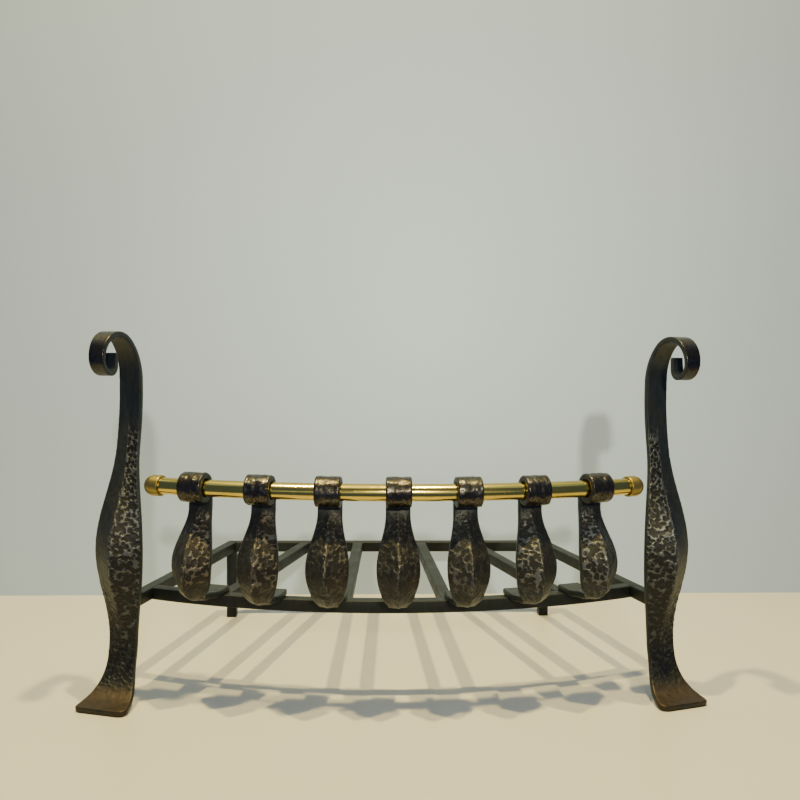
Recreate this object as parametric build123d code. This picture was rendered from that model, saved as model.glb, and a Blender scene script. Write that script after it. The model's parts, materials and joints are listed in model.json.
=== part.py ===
from build123d import *
import math
import os

# Hand-forged fire grate with a brass rail, in millimetres, +Z up and the front towards -Y.
# The grate is drawn about the middle of its curved front bar, and at the end it is moved so that
# the origin lies on the floor under the middle of its overall box.

# Bar stock of the grate
bar_size = 12.0             # square bar of the frame, the fan bars and the rear legs
bar_top = 96.0              # height of the top of all the bars

# Plan of the grate
front_radius = 640.0        # centre line of the curved front bar
grate_depth = 246.0         # middle of the front bar to the middle of the back bar
side_rear_x = 200.0         # side bar centre line where it passes over the back bar's middle
side_inset = 1.3            # side bar centre line inside the middle of the post, where they meet
fan_bars = ((40.0, 50.0), (106.0, 176.0))   # x of each fan bar at the back bar and at the front bar

# Brass rail
rail_od = 16.0
rail_wall = 1.5
rail_height = 207.0         # centre of the rail above the floor
rail_forward = 40.0         # the rail runs this far in front of the front bar
rail_past_eye = 22.6        # bare tube between the last eye and the cap
cap_od = 20.0
cap_sleeve = 8.0            # length of the cap that slips over the tube
cap_fit = 0.08              # radial clearance of the cap on the tube

# Forged uprights
upright_count = 7
upright_pitch = 64.2        # along the rail
strip_thick = 6.0
eye_clearance = 0.5         # radial, between the rail and the rolled eye
eye_seat = 0.15             # gap left under the rail, which lies in its eyes
eye_width = 23.6
eye_gap = 0.4               # hairline between the end of the rolled eye and the neck
neck_width = 23.0
neck_length = 17.0          # straight neck below the middle of the eye
leaf_width = 40.0
leaf_ridge = 16.0           # rise of the leaf's ridge above its two edges
leaf_full = 0.24            # share of the leaf's height, from below, where its edges are furthest forward
leaf_widest = 0.32          # and where it is widest
belly_forward = 7.0         # edges of the leaf at their furthest forward, in front of the rail's centre
belly_tuck = 3.7            # edges at the foot of the leaf, behind that
belly_radius = 12.0         # bend at the foot of the leaf, on its centre line
belly_lift = 2.5            # lowest part of the bend above the tail
belly_width = 31.0          # where the bend meets the leaf
heel_width = 18.0           # narrowest place, at the start of the bend
heel_share = 0.3            # share of the bend that stays as narrow as that
tail_width = 24.0
tail_overhang = 1.0         # end of the tail past the rear face of the front bar

# End posts
post_past_cap = 23.0        # middle of the post's stem, outwards from the tip of the rail's cap
post_turn = 15.6            # degrees that each post faces outwards
post_stem_width = 28.8
post_leaf_width = 48.6
post_leaf_height = 145.0    # where the leaf is widest
post_leaf_below = 90.0      # length of the leaf under its widest place
post_leaf_above = 100.0     # and over it
post_ridge = 15.0
post_ridge_height = 132.0   # where the ridge is highest
post_ridge_reach = 88.0     # the ridge runs out this far above and below there
post_neck_width = 23.0
toe_forward = 40.0          # front edge of the foot, in front of the stem
toe_width = 53.0
toe_inner_corner = 8.0      # radius of the toe's corner towards the grate
toe_outer_corner = 4.0
foot_flare = 58.0           # length of the foot over which it narrows to the stem
foot_filed = 0.3            # filed off under the toe, so that it stands flat
# Side view of the post between its toe and its scroll: in front of the stem, and height
post_curve = ((30.0, 4.6), (17.0, 10.5), (4.2, 30.0), (-1.5, 60.0), (-0.5, 90.0),
              (5.2, 145.0), (-3.2, 200.0), (-13.3, 250.0), (-17.3, 285.0))
neck_back = -17.6           # top of the neck, behind the stem
scroll_start = 309.0        # height where the neck begins to roll forwards
scroll_tip_width = 11.0
scroll_tip_thick = 4.0
# Each turn of the scroll: radius of the centre line and degrees turned
scroll_turns = ((47.0, 45.0), (25.5, 45.0), (22.5, 90.0), (14.0, 90.0), (8.0, 80.0), (60.0, 12.0))

# How deep the back of a leaf is hollowed, as a share of the rise of its ridge
leaf_hollow = 0.55

# Distance between the sections along a forged strip
ring_spacing = 4.8

# Sizes that follow from the ones above
bar_mid = bar_top - bar_size / 2
arc_centre = (0.0, front_radius)
rail_radius = front_radius + rail_forward
rail_half_length = (upright_count - 1) / 2 * upright_pitch + eye_width / 2 + rail_past_eye + cap_sleeve
cap_tip_angle = (rail_half_length + cap_od / 2) / rail_radius
post_x = rail_radius * math.sin(cap_tip_angle) + post_past_cap
post_y = front_radius - rail_radius * math.cos(cap_tip_angle)
eye_inner = rail_od / 2 + eye_clearance
eye_outer = eye_inner + strip_thick
eye_height = rail_height + eye_clearance - eye_seat
neck_forward = -(eye_inner + strip_thick / 2)
lean_tan = (post_x - side_inset - side_rear_x) / (grate_depth - post_y)
lean_cos = math.cos(math.atan(lean_tan))


def ease(value, start, end):
    """Falls smoothly from 1 at start to 0 at end, and is level past both."""
    share = min(max((value - start) / (end - start), 0.0), 1.0)
    return 0.5 + 0.5 * math.cos(math.pi * share)


def radial(radius, along, height):
    """Place on an arc about the grate's centre, facing outwards; along is measured on that arc."""
    angle = along / radius
    x = radius * math.sin(angle)
    y = front_radius - radius * math.cos(angle)
    return Location((x, y, height), (0, 0, math.degrees(angle)))


# Forged strip: sections along a bent centre line, lofted into one piece
def across(forward, height, heading):
    """Plane across a strip; heading is the angle of its run above the forward direction."""
    run = (0, -math.cos(heading), math.sin(heading))
    return Plane(origin=(0, -forward, height), x_dir=(1, 0, 0), z_dir=run)


def ring_count(length):
    """Number of sections along a stretch, so that all are about evenly spaced."""
    return max(2, round(length / ring_spacing))


def flat_section(forward, height, heading, width, thick):
    return across(forward, height, heading) * Rectangle(width, thick)


def ridged_section(forward, height, heading, width, crown):
    """Section with a ridge in front that rises by crown above its two edges, hollow behind."""
    half = width / 2
    edge = strip_thick / 2
    outline = Polyline(
        (-half, edge), (-half, -edge), (0, -edge - crown),
        (half, -edge), (half, edge), (0, edge - crown * leaf_hollow), close=True)
    return across(forward, height, heading) * make_face(outline)


def upright_neck():
    """Flat neck from the top of the leaf up to the middle of the eye."""
    foot = flat_section(neck_forward, eye_height - neck_length, math.pi / 2, neck_width, strip_thick)
    top = flat_section(neck_forward, eye_height, math.pi / 2, eye_width, strip_thick)
    return loft([foot, top])


def upright_body():
    """Tail, belly and leaf of an upright, about the middle of its eye."""
    low = bar_top + strip_thick / 2
    bend_height = low + belly_lift + belly_radius
    neck_height = eye_height - neck_length
    swing = belly_forward - neck_forward
    bend_forward = belly_forward - belly_tuck - belly_radius
    tail_end = -(rail_forward + bar_size / 2 + tail_overhang)
    tail_front = bar_size - rail_forward
    bar_face = bar_size / 2 - rail_forward
    rings = []
    steps = ring_count(bend_forward - tail_end)
    for step in range(steps):
        forward = tail_end + step / steps * (bend_forward - tail_end)
        height = low + belly_lift * ease(-forward, -bend_forward, -tail_front)
        width = heel_width + (tail_width - heel_width) * ease(forward, bar_face, bend_forward)
        rings.append(ridged_section(forward, height, 0, width, 0))
    steps = ring_count(belly_radius * math.pi / 2)
    for step in range(steps):
        turn = step / steps
        angle = math.radians(90 * turn)
        forward = bend_forward + belly_radius * math.sin(angle)
        height = bend_height - belly_radius * math.cos(angle)
        width = belly_width + (heel_width - belly_width) * ease(turn, heel_share, 1)
        rings.append(ridged_section(forward, height, angle, width, leaf_ridge * turn ** 1.5))
    steps = ring_count(neck_height - bend_height)
    for step in range(steps):
        share = step / steps
        forward = neck_forward + swing * ease(share, leaf_full, 1) - belly_tuck * ease(share, 0, leaf_full)
        height = bend_height + share * (neck_height - bend_height)
        narrow = max(1 - share / leaf_widest, 0) ** 2
        width = neck_width + (leaf_width - neck_width) * ease(share, leaf_widest, 0.93)
        width -= (leaf_width - belly_width) * narrow
        lean = swing * (ease(share + 0.01, leaf_full, 1) - ease(share - 0.01, leaf_full, 1)) / 0.02
        heading = math.pi / 2 - math.atan2(lean, neck_height - bend_height)
        crown = leaf_ridge * math.cos(share * math.pi / 2)
        rings.append(ridged_section(forward, height, heading, width, crown))
    rings.append(ridged_section(neck_forward, neck_height, math.pi / 2, neck_width, 0))
    body = loft(rings)
    bar_space = Pos(0, rail_forward, bar_mid) * Box(2 * leaf_width, 2 * bar_size, bar_size)
    return body - bar_space


def upright_eye():
    """The neck's end rolled over the rail and back under it until it meets the neck."""
    side = Plane(origin=(0, 0, eye_height), x_dir=(0, 1, 0), z_dir=(1, 0, 0))
    ring = Circle(eye_outer) - Circle(eye_inner)
    neck_face = eye_inner - eye_gap
    ring -= Pos(neck_face + eye_outer, -eye_outer) * Rectangle(2 * eye_outer, 2 * eye_outer)
    return extrude(side * ring, eye_width / 2, both=True)


def upright(number):
    along = (number - (upright_count + 1) / 2) * upright_pitch
    place = radial(rail_radius, along, 0)
    return place * (upright_body() + upright_neck() + upright_eye())


# End post: flared foot, stem, ridged leaf, neck and scroll
def post_section(forward, height, heading, from_toe):
    """Section of the post below its scroll."""
    foot = ease(from_toe, -5, foot_flare)
    below = ease(post_leaf_height - height, 0, post_leaf_below)
    above = ease(height - post_leaf_height, 0, post_leaf_above)
    if height < post_leaf_height:
        width = post_stem_width + (post_leaf_width - post_stem_width) * below
    else:
        width = post_neck_width + (post_leaf_width - post_neck_width) * above
    width += (toe_width - post_stem_width) * foot
    crown = post_ridge * ease(abs(height - post_ridge_height), 0, post_ridge_reach)
    return ridged_section(forward, height, heading, width, crown)


def post_strip():
    """Foot, stem, leaf and neck, bent to a curve seen from the side."""
    sole = strip_thick / 2 - foot_filed
    line = Spline((toe_forward, sole), *post_curve, (neck_back, scroll_start))
    rings = []
    steps = round(line.length / (2 * ring_spacing))
    for step in range(steps):
        spot = line @ (step / steps)
        run = line % (step / steps)
        rings.append(post_section(spot.X, spot.Y, math.atan2(run.Y, run.X), step / steps * line.length))
    rings.append(ridged_section(neck_back, scroll_start, math.pi / 2, post_neck_width, 0))
    return loft(rings)


def post_scroll():
    """The neck's end rolled forwards and in on itself, narrower and thinner as it goes."""
    forward = neck_back
    height = scroll_start
    heading = math.pi / 2
    total = sum(radius * math.radians(turn) for radius, turn in scroll_turns)
    rolled = 0.0
    rings = [flat_section(forward, height, heading, post_neck_width, strip_thick)]
    for radius, turn in scroll_turns:
        steps = ring_count(radius * math.radians(turn))
        step_turn = math.radians(turn) / steps
        chord = 2 * radius * math.sin(step_turn / 2)
        for _ in range(steps):
            forward += chord * math.cos(heading - step_turn / 2)
            height += chord * math.sin(heading - step_turn / 2)
            heading -= step_turn
            rolled += radius * step_turn / total
            width = post_neck_width + (scroll_tip_width - post_neck_width) * rolled
            thick = strip_thick + (scroll_tip_thick - strip_thick) * rolled
            rings.append(flat_section(forward, height, heading, width, thick))
    return loft(rings)


def toe_waste(side, radius):
    """What is taken off to round a corner of the toe; side is 1 for the outer corner, -1 for the inner one."""
    depth = 4 * strip_thick
    corner = Pos(side * radius, -radius, 0) * Box(2 * radius, 2 * radius, depth)
    centre = Pos(side * (toe_width / 2 - radius), radius - toe_forward, 0)
    return centre * (corner - Cylinder(radius, depth))


def right_post():
    strip = post_strip() - toe_waste(-1, toe_inner_corner) - toe_waste(1, toe_outer_corner)
    post = Location((post_x, post_y, 0), (0, 0, post_turn)) * (strip + post_scroll())
    ground = Pos(post_x, post_y, -bar_top) * Box(2 * bar_top, 2 * bar_top, 2 * bar_top)
    return post - ground


# Square bars of the grate
def side_line(y):
    """X of the right side bar's centre line at a given y."""
    return side_rear_x + (grate_depth - y) * lean_tan


def straight_bar(start, end):
    """Square bar between two points of its centre line, seen from above."""
    run = Vector(end[0] - start[0], end[1] - start[1], 0)
    middle = ((start[0] + end[0]) / 2, (start[1] + end[1]) / 2, bar_mid)
    turn = math.degrees(math.atan2(run.Y, run.X))
    return Location(middle, (0, 0, turn)) * Box(run.length, bar_size, bar_size)


def arc_bar(radius):
    """Square bar bent round the grate's centre, longer than the front bar."""
    profile = Plane.YZ * Rectangle(bar_size, bar_size)
    profile = radial(radius, -side_line(0), bar_mid) * profile
    axis = Axis((arc_centre[0], arc_centre[1], 0), (0, 0, 1))
    return revolve(profile, axis=axis, revolution_arc=math.degrees(2 * side_line(0) / radius))


def between_sides(bar):
    """Cuts a bar that runs across the grate to meet the inner faces of the side bars."""
    inner = bar_size / 2 / lean_cos
    reach = grate_depth
    rear = side_line(2 * reach) - inner
    front = side_line(-reach) - inner
    outline = Polyline((-front, -reach), (front, -reach), (rear, 2 * reach), (-rear, 2 * reach), close=True)
    return bar & extrude(make_face(outline), bar_top + bar_size)


def right_side_bar(post):
    rear_y = grate_depth + bar_size / 2
    start = (side_line(rear_y + bar_size), rear_y + bar_size)
    end = (side_line(post_y - strip_thick), post_y - strip_thick)
    bar = straight_bar(start, end)
    rear_cut = Pos(side_rear_x, rear_y + 2 * bar_size, bar_mid) * Box(8 * bar_size, 4 * bar_size, 4 * bar_size)
    bar = bar - rear_cut - post
    return bar.solids().sort_by(Axis.Y)[-1]


def fan_bar(rear_x, front_x):
    rear_y = grate_depth - bar_size / 2
    bar = straight_bar((rear_x, grate_depth), (front_x, 0))
    back = Pos(0, rear_y + grate_depth / 2, bar_mid) * Box(4 * side_rear_x, grate_depth, 4 * bar_size)
    inside = Pos(arc_centre[0], arc_centre[1], 0) * Cylinder(front_radius - bar_size / 2, 4 * bar_top)
    return (bar - back) & inside


def right_rear_leg():
    height = bar_top - bar_size
    return Pos(side_rear_x, grate_depth, height / 2) * Box(bar_size, bar_size, height)


# Brass rail and its end caps
def brass_rail():
    profile = Circle(rail_od / 2) - Circle(rail_od / 2 - rail_wall)
    profile = Plane.YZ * profile
    profile = radial(rail_radius, -rail_half_length, rail_height) * profile
    axis = Axis((arc_centre[0], arc_centre[1], 0), (0, 0, 1))
    return revolve(profile, axis=axis, revolution_arc=math.degrees(2 * rail_half_length / rail_radius))


def right_cap():
    """Domed cap: a sleeve over the end of the tube and a half ball past it."""
    dome = cap_od / 2
    bore = rail_od / 2 + cap_fit
    shell = Cylinder(dome, cap_sleeve, align=(Align.CENTER, Align.CENTER, Align.MAX))
    shell += Sphere(dome) & Pos(0, 0, dome) * Box(cap_od, cap_od, cap_od)
    shell -= Cylinder(bore, cap_sleeve, align=(Align.CENTER, Align.CENTER, Align.MAX))
    return radial(rail_radius, rail_half_length, rail_height) * Rot(0, 90, 0) * shell


def build():
    """All the pieces by node name."""
    post = right_post()
    side_bar = right_side_bar(post)
    cap = right_cap()
    leg = right_rear_leg()
    pieces = {
        "right_post": post,
        "left_post": mirror(post, Plane.YZ),
        "right_side_bar": side_bar,
        "left_side_bar": mirror(side_bar, Plane.YZ),
        "right_rail_cap": cap,
        "left_rail_cap": mirror(cap, Plane.YZ),
        "right_rear_leg": leg,
        "left_rear_leg": mirror(leg, Plane.YZ),
        "brass_rail": brass_rail(),
        "front_bar": between_sides(arc_bar(front_radius)),
        "back_bar": between_sides(straight_bar((-side_rear_x, grate_depth), (side_rear_x, grate_depth))),
    }
    for number in range(1, upright_count + 1):
        pieces[f"upright_{number}"] = upright(number)
    lines = [(-rear, -front) for rear, front in reversed(fan_bars)] + list(fan_bars)
    for number, (rear_x, front_x) in enumerate(lines, start=1):
        pieces[f"grate_bar_{number}"] = fan_bar(rear_x, front_x)
    return pieces


pieces = build()
boxes = [piece.bounding_box() for piece in pieces.values()]
middle_y = (min(box.min.Y for box in boxes) + max(box.max.Y for box in boxes)) / 2
os.makedirs("parts", exist_ok=True)
for name, piece in pieces.items():
    export_step(Pos(0, -middle_y, 0) * piece, f"parts/{name}.step")
print("overall width", round(2 * max(box.max.X for box in boxes), 2))
print("overall height", round(max(box.max.Z for box in boxes), 2))
print("moved in y by", round(-middle_y, 3))
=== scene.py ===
"""The look of the forged fire grate: hammered posts and uprights, dark bars and a polished brass rail."""

import json
import math

import bmesh
import bpy
import numpy as np
from mathutils import Matrix, Vector


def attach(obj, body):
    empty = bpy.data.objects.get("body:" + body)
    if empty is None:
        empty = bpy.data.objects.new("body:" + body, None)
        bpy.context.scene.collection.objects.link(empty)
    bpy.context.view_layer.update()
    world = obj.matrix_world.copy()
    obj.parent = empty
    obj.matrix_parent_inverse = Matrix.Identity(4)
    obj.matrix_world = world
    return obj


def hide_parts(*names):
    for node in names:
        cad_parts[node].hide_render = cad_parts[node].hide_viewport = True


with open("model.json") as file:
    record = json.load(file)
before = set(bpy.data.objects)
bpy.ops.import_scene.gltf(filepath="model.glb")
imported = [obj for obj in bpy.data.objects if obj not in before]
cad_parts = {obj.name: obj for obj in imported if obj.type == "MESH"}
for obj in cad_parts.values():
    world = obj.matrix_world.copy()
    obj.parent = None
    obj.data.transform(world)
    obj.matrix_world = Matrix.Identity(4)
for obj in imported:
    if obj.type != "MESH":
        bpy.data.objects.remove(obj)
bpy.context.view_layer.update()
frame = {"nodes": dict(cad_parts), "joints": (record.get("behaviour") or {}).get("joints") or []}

# Sizes in metres, as in the part
MM = 0.001
bar_top = 96 * MM
bar_size = 12 * MM
grate_depth = 246 * MM
front_radius = 640 * MM
side_rear_x = 200 * MM
side_lean_tan = 0.2535
fan_bars = ((40 * MM, 50 * MM), (106 * MM, 176 * MM))
strip_thick = 6 * MM
leaf_hollow = 0.55

rail_forward = 40 * MM
rail_radius = front_radius + rail_forward
rail_od = 16 * MM
rail_wall = 1.5 * MM
rail_half_length = 235 * MM
cap_od = 20 * MM
cap_sleeve = 8 * MM
cap_fit = 0.08 * MM
eye_clearance = 0.5 * MM
eye_seat = 0.15 * MM
upright_count = 7
upright_pitch = 64.2 * MM
post_x = 262.73 * MM
post_y = 3.66 * MM
post_turn = math.radians(15.6)

# Hammer pits, as wide in the mesh as in its finish, and how far the edges' marks are from the face's
pit_size = 4 * MM
edge_shift = 60 * MM

# The room: where its wall stands, and the depth of the pale floor that the brass reflects
wall_y = 0.243
floor_depth = 0.58
room_width, wall_height, outer_floor_width = 4.0, 2.4, 6.0
lamp_height, lamp_y = 2.8, -0.36

# The hinge of the rail stands at the centre of all the grate's arcs
slide = frame["joints"][0]
arc_centre = Vector((slide["pos_m"][0], slide["pos_m"][1], 0))
rail_height = slide["pos_m"][2]
front_y = arc_centre.y - front_radius


# Curves and meshes of bent strips
def ease(value, start, end):
    """Falls smoothly from 1 at start to 0 at end, and is level past both."""
    share = np.clip((np.asarray(value, float) - start) / (end - start), 0, 1)
    return 0.5 + 0.5 * np.cos(np.pi * share)


def evenly(line, count):
    """The same line with count points, evenly spaced."""
    run = run_along(line)
    places = np.linspace(0, run[-1], count)
    return np.stack([np.interp(places, run, line[:, axis]) for axis in range(2)], axis=1)


def run_along(line):
    """Distance of every point from the line's start, along it."""
    return np.concatenate([[0], np.cumsum(np.linalg.norm(np.diff(line, axis=0), axis=1))])


def natural_curve(points, count):
    """Points evenly spaced along a natural cubic spline through the given ones."""
    points = np.asarray(points, float)
    knots = run_along(points)
    gaps = np.diff(knots)
    size = len(points)
    system = np.eye(size)
    right = np.zeros((size, 2))
    for row in range(1, size - 1):
        system[row, row - 1:row + 2] = gaps[row - 1], 2 * (gaps[row - 1] + gaps[row]), gaps[row]
        slopes = (points[row + 1] - points[row]) / gaps[row]
        slopes -= (points[row] - points[row - 1]) / gaps[row - 1]
        right[row] = 6 * slopes
    bends = np.linalg.solve(system, right)
    fine = np.linspace(0, knots[-1], 20 * count)
    cell = np.clip(np.searchsorted(knots, fine, side="right") - 1, 0, size - 2)
    gap = gaps[cell][:, None]
    to_end = (knots[cell + 1] - fine)[:, None]
    from_start = (fine - knots[cell])[:, None]
    line = (bends[cell] * to_end ** 3 + bends[cell + 1] * from_start ** 3) / (6 * gap)
    line += (points[cell] / gap - bends[cell] * gap / 6) * to_end
    line += (points[cell + 1] / gap - bends[cell + 1] * gap / 6) * from_start
    return evenly(line, count)


def arc_points(start, heading, radius, turn, count):
    """Points of an arc that bends downwards, without its first point, and its last heading."""
    steps = heading - np.radians(turn) * np.arange(1, count + 1) / count
    forward = start[0] + radius * (np.sin(heading) - np.sin(steps))
    height = start[1] + radius * (np.cos(steps) - np.cos(heading))
    return np.stack([forward, height], axis=1), steps[-1]


def ring_outline(left, right, thick, crown, points):
    """Rounded section across a strip, for every station: x across, y towards the back."""
    edge = thick / 2
    middle = 0 * left
    hollow = edge - leaf_hollow * crown
    corners_x = np.stack([-left, middle, right, right, middle, -left], axis=1)
    corners_y = np.stack([-edge, -edge - crown, -edge, edge, hollow, edge], axis=1)
    face, edge_points, back = points["face"], points["edge"], points["back"]
    spans = (face, face, edge_points, back, back, edge_points)
    pieces = []
    for side, count in enumerate(spans):
        share = np.arange(count) / count
        following = (side + 1) % 6
        x = corners_x[:, side, None] * (1 - share) + corners_x[:, following, None] * share
        y = corners_y[:, side, None] * (1 - share) + corners_y[:, following, None] * share
        pieces.append(np.stack([x, y], axis=2))
    loop = np.concatenate(pieces, axis=1)
    for _ in range(points["rounding"]):
        loop = 0.5 * loop + 0.25 * (np.roll(loop, 1, axis=1) + np.roll(loop, -1, axis=1))
    return loop


def strip_mesh(name, line, left, right, thick, crown, place, points):
    """Closed mesh of a bent strip, and the sections that it was made of."""
    run = run_along(line)
    heading = np.unwrap(np.arctan2(np.gradient(line[:, 1], run), np.gradient(line[:, 0], run)))
    loop = ring_outline(left, right, thick, crown, points)
    stations, around = loop.shape[:2]
    forward = line[:, 0, None] - loop[:, :, 1] * np.sin(heading)[:, None]
    height = line[:, 1, None] + loop[:, :, 1] * np.cos(heading)[:, None]
    co = np.stack([loop[:, :, 0], -forward, height], axis=2)
    made = skin(name, co, place)
    along = np.repeat(run, around)
    across = loop[:, :, 0].reshape(-1)
    on_edge = np.tile(loop[:, :, 1].mean(axis=0) > 0, stations) * edge_shift
    strip = np.stack([across, along, on_edge], axis=1)
    strip = np.concatenate([strip, [[0, 0, 0], [0, run[-1], 0]]])
    keep(made.data, "strip", strip, "FLOAT_VECTOR", "vector")
    return made, loop


def skin(name, co, place):
    """Closed mesh through rings of points, with a point in the middle of each end."""
    stations, around = co.shape[:2]
    ends = co[[0, -1]].mean(axis=1)
    co = np.concatenate([co.reshape(-1, 3), ends])
    step = np.arange(around)
    following = (step + 1) % around
    faces = []
    for low in range(0, (stations - 1) * around, around):
        high = low + around
        quads = np.stack([low + step, low + following, high + following, high + step], axis=1)
        faces += quads.tolist()
    last = (stations - 1) * around
    faces += [(len(co) - 2, b, a) for a, b in zip(step.tolist(), following.tolist())]
    faces += [(len(co) - 1, last + a, last + b) for a, b in zip(step.tolist(), following.tolist())]
    mesh = bpy.data.meshes.new(name)
    mesh.from_pydata(placed(co, place), [], faces)
    return linked(name, mesh)


def placed(co, place):
    return (co @ np.array(place.to_3x3()).T + np.array(place.translation)).tolist()


def linked(name, data):
    made = bpy.data.objects.new(name, data)
    bpy.context.scene.collection.objects.link(made)
    return made


def paint(made, name, along, around):
    """Marks every vertex of a strip with a share for its station times one for its place around."""
    keep(made.data, name, np.append(along[:, None] * around, [0, 0]))


def keep(mesh, name, values, kind="FLOAT", field="value"):
    """Keeps a number or a vector on every vertex under a name."""
    mesh.attributes.new(name, kind, "POINT").data.foreach_set(field, values.reshape(-1).astype(np.float32))


def face_masks(points):
    """Which points of a section lie on the front and which on the back."""
    around = np.arange(2 * (points["face"] + points["edge"] + points["back"]))
    front = (around <= 2 * points["face"]).astype(float)
    first_back = 2 * points["face"] + points["edge"]
    back = ((around >= first_back) & (around <= first_back + 2 * points["back"])).astype(float)
    return front, back


def radial(radius, along, height):
    """Place on an arc about the grate's centre, facing outwards."""
    angle = along / radius
    x = arc_centre.x + radius * math.sin(angle)
    y = arc_centre.y - radius * math.cos(angle)
    return Matrix.Translation((x, y, height)) @ Matrix.Rotation(angle, 4, "Z")


# Node helpers
def wire(tree, value, socket):
    """Gives a socket a value or links it to another one."""
    if isinstance(value, bpy.types.NodeSocket):
        tree.links.new(value, socket)
    else:
        socket.default_value = value


def node(tree, kind, inputs=None, **settings):
    made = tree.nodes.new(kind)
    for name, value in settings.items():
        setattr(made, name, value)
    for name, value in (inputs or {}).items():
        wire(tree, value, made.inputs[name])
    return made


def maths(tree, operation, first, second=0.0, clamp=False):
    made = node(tree, "ShaderNodeMath", {0: first, 1: second}, operation=operation, use_clamp=clamp)
    return made.outputs[0]


def times(tree, first, second, clamp=False):
    return maths(tree, "MULTIPLY", first, second, clamp)


def plus(tree, first, second, clamp=False):
    return maths(tree, "ADD", first, second, clamp)


def minus(tree, first, second):
    return maths(tree, "SUBTRACT", first, second)


def vector_maths(tree, operation, first, second):
    return node(tree, "ShaderNodeVectorMath", {0: first, 1: second}, operation=operation).outputs[0]


def scaled(tree, vector, scale):
    return node(tree, "ShaderNodeVectorMath", {0: vector, "Scale": scale}, operation="SCALE").outputs[0]


def remap(tree, value, low, high, to_low=0.0, to_high=1.0, smooth=False):
    inputs = {"Value": value, "From Min": low, "From Max": high, "To Min": to_low, "To Max": to_high}
    kind = "SMOOTHSTEP" if smooth else "LINEAR"
    return node(tree, "ShaderNodeMapRange", inputs, interpolation_type=kind).outputs["Result"]


def mix_colour(tree, factor, first, second):
    made = node(tree, "ShaderNodeMix", data_type="RGBA")
    sockets = {socket.identifier: socket for socket in made.inputs}
    wire(tree, factor, sockets["Factor_Float"])
    for name, colour in (("A_Color", first), ("B_Color", second)):
        wire(tree, (*colour, 1) if isinstance(colour, tuple) else colour, sockets[name])
    return next(socket for socket in made.outputs if socket.identifier == "Result_Color")


def noise(tree, place, scale, detail=2.0, roughness=0.5):
    inputs = {"Vector": place, "Scale": scale, "Detail": detail, "Roughness": roughness}
    return node(tree, "ShaderNodeTexNoise", inputs).outputs["Fac"]


def new_sockets(tree, inputs, outputs):
    """Gives a node group its named sockets and returns its input and output nodes' sockets."""
    kinds = {"value": "NodeSocketFloat", "vector": "NodeSocketVector", "colour": "NodeSocketColor",
             "geometry": "NodeSocketGeometry", "material": "NodeSocketMaterial"}
    for names, direction in ((inputs, "INPUT"), (outputs, "OUTPUT")):
        for name, kind in names.items():
            tree.interface.new_socket(name, in_out=direction, socket_type=kinds[kind])
    return tree.nodes.new("NodeGroupInput").outputs, tree.nodes.new("NodeGroupOutput").inputs


def use_group(tree, group, inputs):
    made = node(tree, "ShaderNodeGroup", node_tree=group)
    for name, value in inputs.items():
        wire(tree, value, made.inputs[name])
    return made.outputs


def hammer_pits(tree, place, size):
    """Round hammer pits, 1 in their middles and 0 between them, for either kind of tree."""
    wander = node(tree, "ShaderNodeTexNoise", {"Vector": place, "Scale": 330.0}).outputs["Color"]
    drift = vector_maths(tree, "SUBTRACT", wander, (0.5, 0.5, 0.5))
    place = vector_maths(tree, "ADD", place, scaled(tree, drift, 4.2 * MM))
    inputs = {"Vector": place, "Scale": maths(tree, "DIVIDE", 1.0, size)}
    cells = node(tree, "ShaderNodeTexVoronoi", inputs, voronoi_dimensions="2D")
    own = node(tree, "ShaderNodeSeparateXYZ", {0: cells.outputs["Color"]}).outputs
    rim = remap(tree, own[0], 0.0, 1.0, 0.44, 0.76)
    slope_start = minus(tree, rim, 0.16)
    return remap(tree, cells.outputs["Distance"], slope_start, rim, 1.0, 0.0, smooth=True)


# Hammer marks and weld beads, made by geometry nodes
def geometry_tree(name, numbers):
    """A tree that takes a mesh, some named numbers and a material."""
    tree = bpy.data.node_groups.new(name, "GeometryNodeTree")
    inputs = {"Geometry": "geometry", **{number: "value" for number in numbers}, "Material": "material"}
    entry, leave = new_sockets(tree, inputs, {"Geometry": "geometry"})
    return tree, entry, leave


def hammer_tree():
    """Hammer pits and dents, pressed into a strip."""
    tree, entry, leave = geometry_tree("Hammered skin", ("Pit Size", "Pit Depth", "Dent Depth", "Seed"))
    seed = node(tree, "ShaderNodeCombineXYZ", {axis: entry["Seed"] for axis in "XYZ"})
    place = vector_maths(tree, "ADD", named(tree, "strip", "FLOAT_VECTOR"), seed.outputs[0])
    pit = times(tree, hammer_pits(tree, place, entry["Pit Size"]), named(tree, "hammered"))
    dent = times(tree, remap(tree, noise(tree, place, 170.0), 0.3, 0.7), named(tree, "dented"))
    sunk = times(tree, pit, entry["Pit Depth"])
    sunk = plus(tree, sunk, times(tree, dent, entry["Dent Depth"]))
    normal = tree.nodes.new("GeometryNodeInputNormal").outputs["Normal"]
    offset = scaled(tree, normal, times(tree, sunk, -1.0))
    moved = node(tree, "GeometryNodeSetPosition", {"Geometry": entry["Geometry"], "Offset": offset})
    kept = {"Geometry": moved.outputs[0], "Name": "pattern", "Value": place}
    stored = node(tree, "GeometryNodeStoreNamedAttribute", kept, data_type="FLOAT_VECTOR", domain="POINT")
    finish_tree(tree, stored.outputs[0], entry["Material"], leave[0])
    return tree


def finish_tree(tree, geometry, material, leave):
    """Ends a tree in smooth, plain geometry of one material."""
    smooth = node(tree, "GeometryNodeSetShadeSmooth", {"Geometry": geometry})
    real = node(tree, "GeometryNodeRealizeInstances", {0: smooth.outputs[0]})
    coated = node(tree, "GeometryNodeSetMaterial", {"Geometry": real.outputs[0], "Material": material})
    tree.links.new(coated.outputs[0], leave)


def named(tree, name, kind="FLOAT"):
    made = node(tree, "GeometryNodeInputNamedAttribute", {"Name": name}, data_type=kind)
    return made.outputs["Attribute"]


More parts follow.
